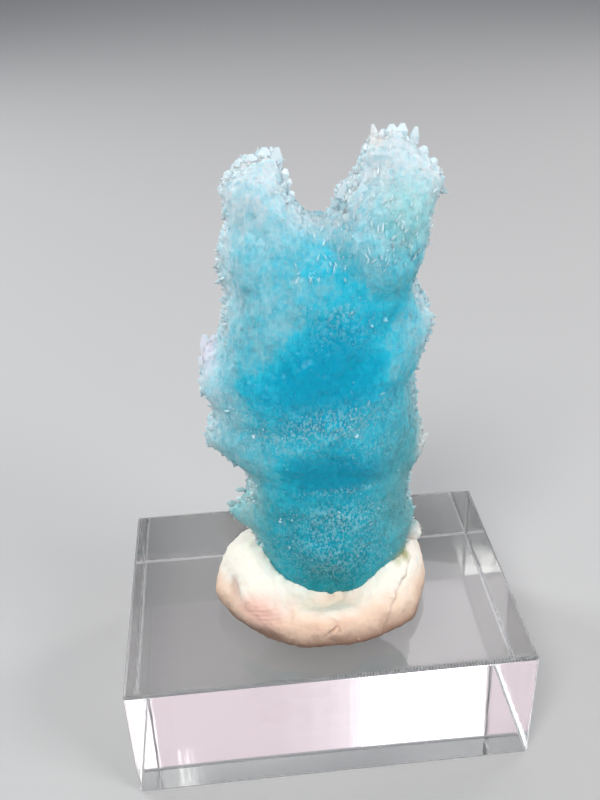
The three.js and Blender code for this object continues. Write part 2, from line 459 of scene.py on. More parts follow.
def pull_skin(thing, pulls):
    """Draws the skin smoothly towards or away from a few places."""
    faint = 6
    for vertex in thing.data.vertices:
        place = vertex.co / MM
        for centre, reach, pull in pulls:
            away = spread(place, centre, reach)
            if away < faint:
                vertex.co += Vector(pull) * MM * math.exp(-away)


def displace(thing, name, kind, grain, height, where=""):
    """Raises and lowers a skin by a cloud texture, all over or in a vertex group."""
    texture = bpy.data.textures.new(name, kind)
    texture.noise_scale = grain
    swell = thing.modifiers.new(name, "DISPLACE")
    swell.texture = texture
    swell.texture_coords = "LOCAL"
    swell.strength = height
    swell.mid_level = 0.5 if height > 0 else 0.6
    swell.vertex_group = where


def set_in(thing, amount):
    """Moves a skin evenly inwards, to leave room for what grows on it."""
    normals = [vertex.normal.copy() for vertex in thing.data.vertices]
    for vertex, normal in zip(thing.data.vertices, normals):
        vertex.co -= normal * amount


crust = copy_of_node("hemimorphite", "hemimorphite_crust")
even_skin(crust, CRUST_GRAIN, CRUST_SOFTENING)
set_in(crust, DRUSE_ROOM)
pull_skin(crust, PULLS)


def between(low, high, value):
    """0 below low, 1 above high, and an even curve from one to the other."""
    share = min(1, max(0, (value - low) / (high - low)))
    return share * share * (3 - 2 * share)


def smoothness(place):
    """1 on the few places of the crust, in millimetres, that no druse covers."""
    across = (place.x, place.z)
    smooth = 0.0
    for centre, reach, bareness, steepness in BARE_PLACES:
        smooth += bareness * math.exp(-spread(across, centre, reach, steepness))
    return min(1, smooth)


healed = crust.vertex_groups.new(name="healed")
for vertex in crust.data.vertices:
    place = vertex.co / MM
    share = max(math.exp(-spread(place, middle, reach)) for middle, reach in HEALED)
    healed.add([vertex.index], share, "REPLACE")
healing = crust.modifiers.new("healed steps", "SMOOTH")
healing.iterations = HEALING
healing.vertex_group = "healed"
apply_modifiers(crust)

flanks = crust.vertex_groups.new(name="flanks")
for vertex in crust.data.vertices:
    place = vertex.co / MM
    edge = 1 - between(*FLANK_TURN, abs(vertex.normal.y))
    edge *= (1 - 0.8 * smoothness(place)) * between(*FLANK_FOOT, vertex.co.z / MM)
    flanks.add([vertex.index], edge, "REPLACE")
for swelling in RELIEF:
    displace(crust, *swelling)
apply_modifiers(crust)
crust.vertex_groups.clear()
bpy.ops.object.shade_smooth()


def chord(surface, start, direction):
    """The length of solid stone behind a point of the surface, in one direction."""
    under_skin = 0.05
    inside = start + direction * under_skin * MM
    hit = surface.ray_cast(inside, direction)[0]
    return (hit - inside).length if hit else 0


def band_at(height):
    """The colour band at a height, run smoothly into its neighbours."""
    above = BANDS[0]
    for below in BANDS[1:]:
        if height > below[0]:
            share = between(above[0], below[0], height)
            return [a + (b - a) * share for a, b in zip(above, below)]
        above = below
    return BANDS[-1]


def stone_depth(vertex, surface):
    """How deep and clear the colour is at a point: 0 is icy white and 1 the clear heart."""
    place = vertex.co / MM
    front = vertex.normal.y < 0
    side = Vector((0, 1 if front else -1, 0))
    through = chord(surface, vertex.co, side)
    inward = chord(surface, vertex.co, -vertex.normal)
    solid = min(1, (0.7 * through + 0.3 * min(inward, through + 4 * MM)) / FULL_DEPTH)
    stir = Vector()
    for grain, height in STIRS:
        stir += noise.noise_vector(place / grain) * height
    x, z = place.x + stir.x, place.z + stir.z
    if not front:
        x, z = x + BACK_SHIFT[0], z + BACK_SHIFT[1]
    _, heart, rim, middle, width = band_at(z)
    depth = rim + (heart - rim) * math.exp(-((abs(x - middle) / width) ** 2.4))
    if front:
        for centre, radii, change in CLOUDS:
            depth += change * math.exp(-spread((x, z), centre, radii))
    return max(0, depth) * (0.25 + 0.75 * between(0.20, 0.85, solid))


surface = BVHTree.FromObject(crust, bpy.context.evaluated_depsgraph_get())
store(crust, "depth", [stone_depth(vertex, surface) for vertex in crust.data.vertices])


def blend(tree, factor, first, second, how="MIX"):
    """Two colours mixed by a factor."""
    inputs = {"Factor": factor, 6: first, 7: second}
    return add_node(tree, "ShaderNodeMix", inputs, data_type="RGBA", blend_type=how).outputs[2]


def patch(tree, where, centre, radii, softness):
    """1 in the middle of an ellipsoid and 0 outside it, in millimetres."""
    away = vec(tree, "SUBTRACT", where, centre)[0]
    away = vec(tree, "DIVIDE", away, radii)[0]
    reach = vec(tree, "LENGTH", away)[1]
    return fade(tree, reach, 1.0 - softness, 1.0, 1.0, 0.0)


def lay_patches(tree, where, body, patches):
    """Lays soft patches of colour over a body colour, one after the other."""
    for how, colour, centre, radii, share in patches:
        there = times(tree, patch(tree, where, centre, radii, 0.8), share)
        body = blend(tree, there, body, colour, how)
    return body


def places(tree, stretch=(1, 1, 1)):
    """Places on an object in millimetres, each part times its stretch."""
    place = add_node(tree, "ShaderNodeTexCoord").outputs["Object"]
    return vec(tree, "MULTIPLY", place, [part / MM for part in stretch])[0]


def drawn_cloud(tree, place, squash, grain, detail):
    """A cloud drawn out upright, as blades grow: the smaller the squash, the longer."""
    return cloud(tree, vec(tree, "MULTIPLY", place, (1, 1, squash))[0], grain, detail)


def new_group(name, inputs, outputs):
    """An empty shader node group with named inputs and outputs, handed back with its ends."""
    group = bpy.data.node_groups.new(name, "ShaderNodeTree")
    for title, kind in inputs:
        group.interface.new_socket(title, in_out="INPUT", socket_type=kind)
    for title, kind in outputs:
        group.interface.new_socket(title, in_out="OUTPUT", socket_type=kind)
    start = group.nodes.new("NodeGroupInput")
    end = group.nodes.new("NodeGroupOutput")
    return group, start.outputs, end.inputs


def ramp(tree, factor, stops):
    """A colour ramp's colour."""
    node = add_node(tree, "ShaderNodeValToRGB", {"Fac": factor})
    scale = node.color_ramp.elements
    while len(scale) < len(stops):
        scale.new(0.5)
    for element, (position, colour) in zip(scale, stops):
        element.position = position
        element.color = colour
    return node.outputs["Color"]


# The white that crystal tips pale to, which also paints the crystals' glints.
ICE_AND_GLINT_WHITE = (0.76, 0.87, 0.93, 1)
TIP_WHITE = (0.59, 0.68, 0.72, 1)
MILK = (0.37, 0.62, 0.70, 1)
PALE_BLUE = (0.17, 0.54, 0.65, 1)
CYAN = (0.02, 0.50, 0.67, 1)
HEART = (0.0, 0.37, 0.55, 1)
DUSK = (0.55, 0.76, 0.72, 1)
DEEPER = (0.40, 0.86, 0.87, 1)
DEEPEST = (0.50, 0.72, 0.68, 1)
# Paler blue of the sugary grains, partly their own colour and partly painted glints.
SUGAR_GLINT = (0.30, 0.60, 0.68, 1)
SEA_GREEN = (0.30, 0.62, 0.58, 1)
BEIGE = (0.80, 0.72, 0.66, 1)
LILAC = (0.82, 0.78, 0.92, 1)
OLIVE = (0.30, 0.34, 0.16, 1)
SHALE = (0.10, 0.32, 0.35, 1)
TONES = ((0.0, TIP_WHITE), (0.18, MILK), (0.38, PALE_BLUE), (0.58, CYAN), (0.85, HEART))
# The stone grows duskier from the first height down to the second, in millimetres.
DUSK_FROM, DUSK_TO = 40.0, 23.0
# Tinted places: how they are laid, colour, middle and radii in millimetres, share.
STONE_PATCHES = (
    ("MIX", SEA_GREEN, (8.0, -3.0, 55.5), (4.5, 8.0, 4.5), 0.45),
    ("MULTIPLY", DEEPER, (1.2, -7.0, 42.5), (5.0, 5.0, 5.0), 0.7),
    ("MULTIPLY", DEEPER, (1.2, -6.5, 32.2), (6.6, 4.0, 4.2), 0.9),
    ("MULTIPLY", DEEPEST, (0.8, -6.5, 18.8), (6.6, 4.5, 5.6), 1.0),
    ("MIX", SHALE, (9.5, -5.0, 29.0), (6.5, 9.0, 18.0), 0.7),
    ("MIX", SHALE, (7.6, -5.0, 50.2), (4.0, 4.0, 2.8), 0.4),
    ("MIX", LILAC, (-9.6, -0.4, 43.2), (1.6, 4.0, 3.2), 0.7),
    ("MIX", BEIGE, (10.8, -1.6, 31.8), (2.0, 5.5, 2.8), 0.6),
    ("MIX", BEIGE, (10.4, -1.4, 19.6), (2.2, 4.0, 2.6), 0.9),
    ("MIX", OLIVE, (8.2, -4.0, 19.8), (1.6, 3.0, 1.8), 0.6),
    ("MIX", BEIGE, (5.4, -1.0, 61.4), (1.8, 3.0, 1.8), 0.45),
)
SUGAR_GLINT_SHARE = 0.75
CRYSTAL_END = 0.30
STONE_IOR = 1.61
STONE_ROUGHNESS = 0.35

stone_tint, given, made = new_group(
    "hemimorphite tint",
    (("Depth", "NodeSocketFloat"), ("Sugar", "NodeSocketFloat")),
    (("Color", "NodeSocketColor"),),
)
tree = stone_tint
place = places(tree)
height = add_node(tree, "ShaderNodeSeparateXYZ", {0: place}).outputs["Z"]
flecks = fade(tree, cloud(tree, place, 0.40, 2.0), 0.3, 0.7, -0.04, 0.04)
strokes = fade(tree, drawn_cloud(tree, place, 0.25, 0.15, 2.0), 0.3, 0.7, 0.035, -0.035)
wisps = fade(tree, drawn_cloud(tree, place, 0.6, 0.85, 3.0), 0.32, 0.68, -0.065, 0.065)
depth = calc(tree, "ADD", given["Depth"], calc(tree, "ADD", flecks, strokes))
depth = calc(tree, "ADD", depth, wisps)
body = ramp(tree, depth, TONES)
sunk = fade(tree, height, DUSK_FROM, DUSK_TO)
body = blend(tree, sunk, body, DUSK, "MULTIPLY")
body = lay_patches(tree, place, body, STONE_PATCHES)
# Paler grains where the druse is sugary: partly the grains' own colour, partly painted glints.
grains = fade(tree, drawn_cloud(tree, place, 0.6, 0.24, 2.0), 0.47, 0.57)
grains = times(tree, grains, given["Sugar"])
body = blend(tree, calc(tree, "MULTIPLY", grains, SUGAR_GLINT_SHARE, clamp=True), body, SUGAR_GLINT)
tree.links.new(body, made["Color"])

# A skin of crystal ends: every cell a flat facet tilted its own way, in millimetres.
crystal_ends, given, made = new_group(
    "crystal ends", (("Grain", "NodeSocketFloat"),), (("Height", "NodeSocketFloat"),)
)
tree = crystal_ends
place = places(tree, (1, 1, 0.5))
fineness = calc(tree, "DIVIDE", 1.0, given["Grain"])
cells = add_node(tree, "ShaderNodeTexVoronoi", {"Vector": place, "Scale": fineness})
inside = vec(tree, "SUBTRACT", place, cells.outputs["Position"])[0]
tilt = vec(tree, "SUBTRACT", cells.outputs["Color"], (0.5, 0.5, 0.5))[0]
tree.links.new(vec(tree, "DOT_PRODUCT", inside, tilt)[1], made["Height"])

stone, tree, shader = new_material(
    "milky blue hemimorphite",
    Roughness=STONE_ROUGHNESS,
    IOR=STONE_IOR,
    Specular_IOR_Level=0.15,
    Subsurface_Weight=1.0,
    Subsurface_Radius=(0.5, 0.9, 1.0),
    Subsurface_Scale=1.2 * MM,
)
depth, sugar = kept(tree, "depth"), kept(tree, "sugar")
tint = add_node(tree, "ShaderNodeGroup", {"Depth": depth, "Sugar": sugar}, node_tree=stone_tint)
tree.links.new(tint.outputs["Color"], shader.inputs["Base Color"])
ends = add_node(tree, "ShaderNodeGroup", {"Grain": CRYSTAL_END}, node_tree=crystal_ends)
steepness = calc(tree, "MULTIPLY_ADD", sugar, 0.7, 0.3)
facets = times(tree, ends.outputs["Height"], steepness)
emboss(tree, shader, facets, MM)
crust.data.materials.append(stone)
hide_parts("hemimorphite")
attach(crust, "root")


# ----------------------------------------------------------
# Crystals
# The skin of the crust is a druse of tiny flattened blades with pointed ends.
# They stand out from the stone every way, longest on the prongs' tips.

# Name, kind, mask, how many on a square millimetre, shortest and longest, how
# far they stand up and lean out, which way they grow besides, and the seed.
DRUSES = (
    ("frost", "grain", "frost", 10.0, (0.10, 0.24), 0.6, 0.8, (0, 0, 0.15), 11),
    ("sugar_grains", "sugar", "sugar", 11.0, (0.10, 0.28), 0.4, 0.7, (0, 0, 0.5), 12),
    ("chips", "chip", "teeth", 5.0, (0.20, 0.44), 0.9, 0.45, (0, 0, 0.25), 14),
    ("large_chips", "chip", "teeth", 0.9, (0.36, 0.68), 0.8, 0.35, (0, 0, 0.35), 13),
    ("needles", "needle", "needles", 4.6, (0.25, 0.80), 0.10, 0.45, (0.1, 0, 0.9), 16),
)
# Nothing grows below the first height, nor on undersides below the second.
BARE_FOOT, BARE_UNDERSIDES = 16.5, 20
# How strongly short crystals outnumber long ones, and how a crystal's width and
# thickness vary beside its length.
FEW_LONG = 1.8
WIDTHS = (0.7, 1.3)
THICKNESSES = (0.7, 1.4)
# How deep the colour of the large single crystals is, and for each its kind, root,
# heading, length, width and thickness, in millimetres.
SINGLE_DEPTH = 0.02
SINGLES = (
    ("stub", (-2.45, -0.4, 58.6), (0.12, 0.0, 1.0), 2.1, 1.05, 0.50),
    ("stub", (-3.30, -0.2, 59.3), (0.05, 0.0, 1.0), 1.4, 1.25, 0.60),
    ("stub", (-4.30, -0.4, 59.2), (-0.10, -0.1, 1.0), 1.1, 1.10, 0.60),
    ("stub", (-5.20, -0.2, 58.7), (-0.25, -0.1, 1.0), 1.2, 1.20, 0.60),
    ("stub", (-6.00, -0.3, 58.0), (-0.50, -0.1, 1.0), 1.1, 1.10, 0.60),
    ("stub", (-6.60, -0.3, 57.2), (-1.00, -0.1, 0.9), 0.8, 1.00, 0.50),
    ("stub", (-1.85, -0.3, 58.0), (0.35, 0.0, 1.0), 0.9, 0.80, 0.50),
    ("stub", (-1.65, -0.2, 57.4), (0.60, 0.0, 0.9), 0.7, 0.80, 0.50),
    ("stub", (-1.40, -0.2, 56.4), (0.70, 0.0, 0.8), 0.6, 0.70, 0.45),
    ("stub", (5.90, -0.4, 60.5), (-0.18, 0.0, 1.0), 1.6, 0.60, 0.40),
    ("stub", (6.50, -0.2, 60.4), (0.02, 0.0, 1.0), 1.2, 0.90, 0.50),
    ("stub", (7.25, -0.4, 60.6), (-0.06, 0.0, 1.0), 1.4, 1.10, 0.60),
    ("stub", (7.95, -0.3, 60.6), (0.12, 0.0, 1.0), 1.4, 1.00, 0.60),
    ("stub", (8.90, -0.4, 59.9), (0.18, 0.0, 1.0), 1.8, 0.75, 0.50),
    ("stub", (9.60, -0.2, 59.0), (0.50, 0.0, 1.0), 1.1, 1.00, 0.50),
    ("stub", (10.30, -0.3, 58.2), (0.80, 0.0, 0.8), 1.0, 1.00, 0.50),
    ("stub", (10.80, -0.3, 57.0), (1.00, 0.0, 0.6), 0.8, 0.80, 0.40),
    ("stub", (5.30, -0.3, 59.6), (-0.60, 0.0, 1.0), 0.9, 0.70, 0.40),
    ("stub", (4.75, -0.3, 58.3), (-1.00, 0.0, 0.3), 0.9, 0.50, 0.35),
    ("grain", (3.15, -0.9, 55.9), (0.02, -0.1, 1.0), 1.9, 1.60, 1.20),
    ("grain", (2.55, -0.7, 55.3), (-0.45, 0.0, 1.0), 1.2, 0.80, 0.60),
    ("stub", (3.80, -0.6, 56.0), (0.30, 0.0, 1.0), 1.0, 0.60, 0.40),
    ("stub", (-9.45, -0.4, 41.8), (-0.04, 0.0, 1.0), 2.5, 1.05, 0.80),
    ("stub", (-8.95, -0.2, 42.0), (0.10, 0.0, 1.0), 2.1, 0.90, 0.70),
    ("stub", (-9.60, -0.6, 40.6), (-0.30, -0.1, 1.0), 1.8, 0.90, 0.60),
    ("stub", (-9.70, -0.2, 39.2), (-1.00, 0.0, 0.5), 1.0, 0.90, 0.50),
    ("stub", (-7.30, -0.2, 26.7), (-1.00, 0.0, 0.1), 0.7, 0.50, 0.35),
    ("stub", (-8.20, -0.2, 25.0), (-1.00, 0.0, 0.3), 0.8, 0.70, 0.50),
    ("stub", (10.30, -0.4, 31.2), (1.00, 0.0, 0.5), 1.1, 0.60, 0.40),
)
# Where needles grow and where the druse is sugary and gets painted glints: mask, middle, radii and
# how thickly.
CROWDS = (
    ("needles", (6.2, 56.0), (4.0, 3.2), 0.30),
    ("needles", (4.8, 53.4), (4.2, 1.4), 1.0),
    ("needles", (0.5, 53.5), (3.0, 2.2), 0.35),
    ("needles", (2.0, 38.5), (3.0, 2.2), 0.15),
    ("sugar", (6.0, 54.5), (4.5, 3.0), 0.4),
    ("sugar", (-1.4, 48.6), (1.2, 0.6), 0.9),
    ("sugar", (2.2, 48.3), (0.9, 0.5), 1.0),
    ("sugar", (2.0, 37.9), (4.4, 1.6), 1.0),
    ("sugar", (-3.6, 36.2), (3.6, 1.6), 0.7),
    ("sugar", (5.2, 34.6), (3.0, 1.5), 0.5),
    ("sugar", (2.5, 30.0), (4.6, 0.4), 0.6),
    ("sugar", (1.5, 27.0), (4.4, 1.5), 0.9),
    ("sugar", (-6.6, 38.0), (2.0, 3.0), 0.4),
    ("sugar", (1.0, 23.0), (5.0, 3.4), 0.7),
    ("sugar", (2.0, 46.8), (3.4, 1.6), 0.4),
)


def select_faces(thing, wanted):
    """Leaves selected just the faces that pass a test, ready for edit mode."""
    pick_only(thing)
    bpy.ops.object.mode_set(mode="EDIT")
    bpy.ops.mesh.select_mode(type="FACE")
    bpy.ops.mesh.select_all(action="DESELECT")
    bpy.ops.object.mode_set(mode="OBJECT")
    for face in thing.data.polygons:
        face.select = wanted(face)
    bpy.ops.object.mode_set(mode="EDIT")


def size_crystal(crystal, width, thickness):
    """Sizes a crystal and keeps how far up each point is: 0 at its root and 1 at its tip."""
    bpy.ops.object.mode_set(mode="OBJECT")
    crystal.scale = (width, thickness, 1.0)
    settle(crystal)
    tops = [vertex.co.z for vertex in crystal.data.vertices]
    store(crystal, "rise", [max(0, top) / max(tops) for top in tops])
    return crystal


def new_grain(width, thickness):
    """A crystal one unit long with four facets up to its tip and four down to its buried root."""
    bpy.ops.mesh.primitive_cone_add(vertices=4, radius1=0.5, depth=0.75, location=(0, 0, 0.625))
    grain = bpy.context.object
    select_faces(grain, lambda face: face.normal.z < -0.9)
    bpy.ops.mesh.extrude_region_move(TRANSFORM_OT_translate={"value": (0, 0, -0.5)})
    bpy.ops.mesh.merge(type="CENTER")
    return size_crystal(grain, width, thickness)


def new_blade(width, thickness, shoulder):
    """A six-sided crystal one unit long that widens a little and ends in a chisel point."""
    root = 0.3
    bpy.ops.mesh.primitive_cylinder_add(
        vertices=6, radius=0.5, depth=shoulder + root, location=(0, 0, (shoulder - root) / 2)
    )
    blade = bpy.context.object
    select_faces(blade, lambda face: face.normal.z > 0.9)
    bpy.ops.transform.resize(value=(1.25, 1.15, 1))
    bpy.ops.mesh.extrude_region_move(TRANSFORM_OT_translate={"value": (0, 0, 1 - shoulder)})
    bpy.ops.transform.resize(value=(0.35, 0.12, 1))
    return size_crystal(blade, width, thickness)


KINDS = {
    "grain": new_grain(0.95, 0.65),
    "sugar": new_grain(0.80, 0.50),
    "chip": new_blade(0.95, 0.65, 0.25),
    "needle": new_grain(0.40, 0.30),
    "stub": new_blade(0.48, 0.32, 0.58),
}


def druse_masks():
    """Keeps on the crust how thickly each kind of crystal grows there."""
    tones = crust.data.attributes["depth"].data
    masks = {"frost": [], "sugar": [], "teeth": [], "needles": []}
    for vertex in crust.data.vertices:
        x, y, z = vertex.co / MM
        patchy = 0.5 + 0.5 * noise.noise(vertex.co / MM / 1.8)
        bare = z < BARE_FOOT or (z < BARE_UNDERSIDES and vertex.normal.z < -0.5)
        clear = between(0.60, 0.90, tones[vertex.index].value)
        flank = 1 - between(0.02, 0.26, abs(vertex.normal.y))
        smooth = smoothness(vertex.co / MM)
        prong = between(47.0, 54.0, z)
        much = dict.fromkeys(masks, 0.0)
        if y < 0:
            for mask, centre, radii, amount in CROWDS:
                crowd = amount * math.exp(-spread((x, z), centre, radii))
                much[mask] += crowd * (0.5 + patchy)
        else:
            much["sugar"] = 0.5 * patchy
        much["frost"] = (0.2 + 0.5 * patchy) * (1 - 0.9 * clear) * (1 - 0.7 * prong)
        much["teeth"] = 0.008 * patchy * (1 - clear) + 0.9 * flank * (0.4 + 0.6 * patchy)
        much["teeth"] *= (1 - smooth) * (1 - 0.5 * between(0.2, 0.7, vertex.normal.z))
        for mask, amounts in masks.items():
            amounts.append(0.0 if bare else much[mask] * (1 - 0.8 * smooth))
    for mask, amounts in masks.items():
        store(crust, mask, amounts)


def grow(name, kind, mask, per_mm2, length, stand, lean, way, seed):
    """Grows crystals all over the crust where the mask allows, and makes them one mesh."""
    growth = bpy.data.node_groups.new(name, "GeometryNodeTree")
    growth.interface.new_socket("Geometry", in_out="INPUT", socket_type="NodeSocketGeometry")
    growth.interface.new_socket("Geometry", in_out="OUTPUT", socket_type="NodeSocketGeometry")
    ground = growth.nodes.new("NodeGroupInput").outputs["Geometry"]

    def step(node, inputs, output=0, **settings):
        """What one more node of the growth puts out."""
        return add_node(growth, node, inputs, **settings).outputs[output]

    def chance(low, high, turn):
        """A random number for each crystal, a new one for each turn."""
        inputs = {2: low, 3: high, "Seed": seed * 10 + turn}
        return step("FunctionNodeRandomValue", inputs, 1, data_type="FLOAT")

    def keep(growing, title, value, **settings):
        """Keeps a value on what is growing, under a title."""
        inputs = {"Geometry": growing, "Name": title, "Value": value}
        return step("GeometryNodeStoreNamedAttribute", inputs, **settings)

    wanted = {"Name": mask}
    wanted = step("GeometryNodeInputNamedAttribute", wanted, "Attribute", data_type="FLOAT")
    density = times(growth, wanted, per_mm2 / MM / MM)
    points = add_node(
        growth,
        "GeometryNodeDistributePointsOnFaces",
        {"Mesh": ground, "Density": density, "Seed": seed},
        distribute_method="RANDOM",
    ).outputs
    astray = {0: (-lean, -lean, -lean), 1: (lean, lean, lean), "Seed": seed * 10}
    astray = step("FunctionNodeRandomValue", astray, data_type="FLOAT_VECTOR")
    heading = vec(growth, "MULTIPLY", points["Normal"], (stand, stand, stand))[0]
    heading = vec(growth, "ADD", heading, astray)[0]
    heading = vec(growth, "ADD", heading, way)[0]
    aimed = step("FunctionNodeAlignRotationToVector", {"Vector": heading}, axis="Z")
    spin = {"Axis": (0, 0, 1), "Angle": chance(0, math.pi, 1)}
    spin = {"Rotation": aimed, "Rotate By": step("FunctionNodeAxisAngleToRotation", spin)}
    turned = step("FunctionNodeRotateRotation", spin, rotation_space="LOCAL")
    shortest, longest = length
    tall = calc(growth, "POWER", chance(0, 1, 2), FEW_LONG)
    tall = calc(growth, "MULTIPLY_ADD", tall, (longest - shortest) * MM, shortest * MM)
    wide = times(growth, tall, chance(*WIDTHS, 3))
    flat = times(growth, tall, chance(*THICKNESSES, 4))
    size = step("ShaderNodeCombineXYZ", {"X": wide, "Y": flat, "Z": tall})
    crystal = step("GeometryNodeObjectInfo", {"Object": KINDS[kind]}, "Geometry")
    seats, normal = points["Points"], points["Normal"]
    seats = keep(seats, "skin", normal, data_type="FLOAT_VECTOR", domain="POINT")
    placed = {"Points": seats, "Instance": crystal, "Rotation": turned, "Scale": size}
    placed = step("GeometryNodeInstanceOnPoints", placed)
    placed = keep(placed, "lot", chance(0, 1, 5), data_type="FLOAT", domain="INSTANCE")
    whole = step("GeometryNodeRealizeInstances", {"Geometry": placed})
    end = growth.nodes.new("NodeGroupOutput")
    growth.links.new(whole, end.inputs["Geometry"])
    druse = add_copy(name, crust.data)
    druse.modifiers.new("growth", "NODES").node_group = growth
    apply_modifiers(druse)
    druse.data.materials.clear()
    return druse


druse_masks()


def crystal_material(name, whiteness, in_heart, melt):
    """Crystal in the stone's colour, paler to its tip and with painted white glints where the druse
    is sugary; it takes the skin's light as it melts in.
    """
    material, tree, shader = new_material(
        name, Roughness=STONE_ROUGHNESS, IOR=STONE_IOR, Specular_IOR_Level=0.35
    )
    depth = kept(tree, "depth")
    tint = add_node(tree, "ShaderNodeGroup", {"Depth": depth}, node_tree=stone_tint)
    paler = times(tree, kept(tree, "rise"), whiteness)
    paler = times(tree, paler, fade(tree, depth, 0.2, 0.8, 1.0, in_heart))
    # Painted glints: a random share of the crystals on sugary druse are whitened.
    white = fade(tree, kept(tree, "lot"), 0.65, 1.0, 0.0, 0.6)
    white = times(tree, white, kept(tree, "sugar"))
    paler = calc(tree, "ADD", paler, white, clamp=True)
    tree.links.new(blend(tree, paler, tint.outputs["Color"], ICE_AND_GLINT_WHITE), shader.inputs["Base Color"])
    own = add_node(tree, "ShaderNodeNewGeometry").outputs["Normal"]
    own = vec(tree, "MULTIPLY", own, (1 - melt, 1 - melt, 1 - melt))[0]
    skin = vec(tree, "MULTIPLY", kept(tree, "skin", "Vector"), (melt, melt, melt))[0]
    facing = vec(tree, "NORMALIZE", vec(tree, "ADD", own, skin)[0])[0]
    tree.links.new(facing, shader.inputs["Normal"])
    return material


FINISHES = {
    "grain": crystal_material("frosty hemimorphite grains", 0.15, 0.3, 0.6),
    "sugar": crystal_material("white hemimorphite sugar", 0.35, 0.8, 0.5),
    "chip": crystal_material("icy hemimorphite chips", 0.7, 0.4, 0.45),
    "needle": crystal_material("white hemimorphite needles", 0.9, 0.6, 0.6),
    "stub": crystal_material("clear hemimorphite tips", 0.4, 0.3, 0.0),
}
for name, kind, *facts in DRUSES:
    druse = grow(name, kind, *facts)
    druse.data.materials.append(FINISHES[kind])
    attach(druse, "root")

singles = []
for kind, root, heading, length, width, thickness in SINGLES:
    pattern = KINDS[kind]
    single = add_copy("single", pattern.data)
    along = Vector(heading).normalized()
    broadside = Vector((0, 1, 0)).cross(along).normalized()
    aim = Matrix((broadside, along.cross(broadside), along)).transposed().to_4x4()
    broad, thick, _ = pattern.dimensions
    size = Matrix.Diagonal((width * MM / broad, thickness * MM / thick, length * MM, 1))
    single.matrix_world = Matrix.Translation(Vector(root) * MM) @ aim @ size
    singles.append(single)
bpy.ops.object.select_all(action="DESELECT")
for single in singles:
    single.select_set(True)
bpy.context.view_layer.objects.active = singles[0]
bpy.ops.object.join()
large = bpy.context.object
large.name = "large_crystals"
settle(large)
store(large, "depth", [SINGLE_DEPTH] * len(large.data.vertices))
large.data.materials.append(FINISHES["stub"])
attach(large, "root")
for pattern in KINDS.values():
    bpy.data.objects.remove(pattern)


# ----------------------------------------------------------
# Putty
# A lump of off-white mounting putty, kneaded soft, pressed on the block and
# squeezed up round the foot of the specimen with a thumb.

PUTTY_GRAIN = 0.13 * MM
PUTTY_SOFTENING = 16
# Where thumb and fingers pushed the lump: place, reach and push in millimetres.
PUTTY_PUSHES = (
    ((-0.3, -7.4, 17.8), (3.2, 1.8, 1.4), (0.0, -0.15, -0.95)),
    ((6.4, -5.8, 18.6), (1.9, 1.7, 1.3), (-0.1, 0.2, 0.95)),
    ((-7.2, -2.6, 20.2), (1.6, 2.6, 1.3), (0.3, 0.0, 0.8)),
    ((-10.3, -2.8, 15.8), (1.6, 1.6, 1.3), (-0.55, -0.1, 0.0)),
    ((-9.8, -3.0, 18.2), (1.4, 1.6, 1.0), (0.35, 0.1, 0.0)),
    ((-9.0, -4.8, 18.1), (0.8, 0.9, 0.8), (0.16, 0.14, -0.1)),
    ((-2.0, -8.4, 17.6), (1.3, 1.0, 1.0), (0.0, -0.25, 0.15)),
    ((1.2, -8.9, 16.9), (2.8, 1.6, 1.0), (0.0, -0.75, 0.28)),
    ((0.6, -8.2, 16.9), (2.4, 1.2, 1.2), (0.0, 0.0, 0.90)),
    ((-6.2, -7.2, 18.9), (2.4, 1.4, 0.8), (0.0, 0.10, -0.25)),
    ((4.2, -8.9, 14.6), (3.0, 1.8, 1.3), (0.1, -0.75, 0.0)),
    ((8.2, -7.2, 14.8), (2.2, 2.0, 1.6), (0.55, -0.85, 0.0)),
    ((-6.0, -8.6, 14.8), (2.6, 1.6, 1.0), (0.1, 0.40, 0.0)),
    ((3.4, -8.6, 17.0), (2.0, 1.4, 1.2), (0.0, 0.20, -0.10)),
    ((0.5, 7.8, 17.0), (2.6, 2.0, 1.8), (0.0, -0.6, 0.1)),
    ((-6.8, 5.4, 17.4), (2.2, 2.0, 1.8), (0.4, -0.4, 0.0)),
    ((7.4, 4.6, 16.6), (2.0, 2.2, 1.6), (-0.4, -0.3, 0.0)),
)
